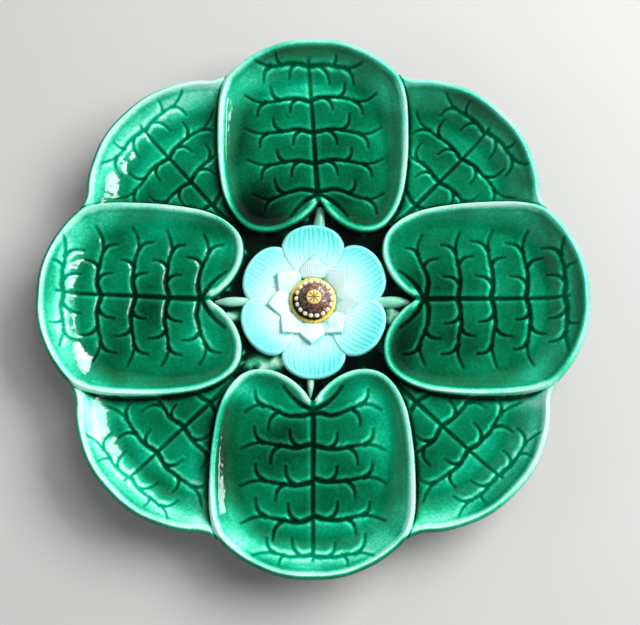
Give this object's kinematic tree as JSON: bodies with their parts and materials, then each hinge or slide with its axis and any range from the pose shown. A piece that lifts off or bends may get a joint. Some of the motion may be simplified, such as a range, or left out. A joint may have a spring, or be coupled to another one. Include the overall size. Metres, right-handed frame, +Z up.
{
  "type": "lily pad plate",
  "caption": "Round relief-moulded earthenware plate with overlapping lily pad wells, a raised water lily in the middle and a low foot ring.",
  "frame": {"origin": "centre of the foot ring's underside, on the table that the plate stands on", "axes": "+Z up out of the plate's face, +Y towards the leaf that is uppermost when the plate is on show, +X to its right"},
  "size_m": [0.229, 0.229, 0.0244],
  "materials": {
    "green_glaze": "thick glossy emerald lead glaze, pale where it thins on the edges, near black where it pools",
    "ground_glaze": "thick glossy glaze of very dark green over the ground between the pads and under the plate",
    "mint_glaze": "thin glossy pale green glaze",
    "turquoise_glaze": "thin glossy pale turquoise glaze over pressed striations",
    "white_glaze": "glossy white glaze with a breath of turquoise",
    "yellow_glaze": "glossy warm yellow glaze",
    "cream_glaze": "glossy cream glaze",
    "brown_glaze": "glossy stippled purple brown glaze"
  },
  "bodies": {
    "root": {"plate_body": "ground_glaze", "foot_ring": "ground_glaze", "lily_pad_right": "green_glaze", "lily_pad_top": "green_glaze", "lily_pad_left": "green_glaze", "lily_pad_bottom": "green_glaze", "back_pad_upper_right": "green_glaze", "back_pad_upper_left": "green_glaze", "back_pad_lower_left": "green_glaze", "back_pad_lower_right": "green_glaze", "stalk_right": "mint_glaze", "stalk_top": "mint_glaze", "stalk_left": "mint_glaze", "stalk_bottom": "mint_glaze", "outer_petal_top": "turquoise_glaze", "outer_petal_lower_left": "turquoise_glaze", "outer_petal_lower_right": "turquoise_glaze", "outer_petal_upper_right": "turquoise_glaze", "outer_petal_upper_left": "turquoise_glaze", "outer_petal_bottom": "turquoise_glaze", "inner_petal_1": "white_glaze", "inner_petal_2": "white_glaze", "inner_petal_3": "white_glaze", "inner_petal_4": "white_glaze", "inner_petal_5": "white_glaze", "inner_petal_6": "white_glaze", "inner_petal_7": "white_glaze", "inner_petal_8": "white_glaze", "seed_collar": "yellow_glaze", "seed_dome": "brown_glaze", "bead_ring": "cream_glaze", "star_disc": "yellow_glaze", "star": "brown_glaze"}
  },
  "joints": []
}
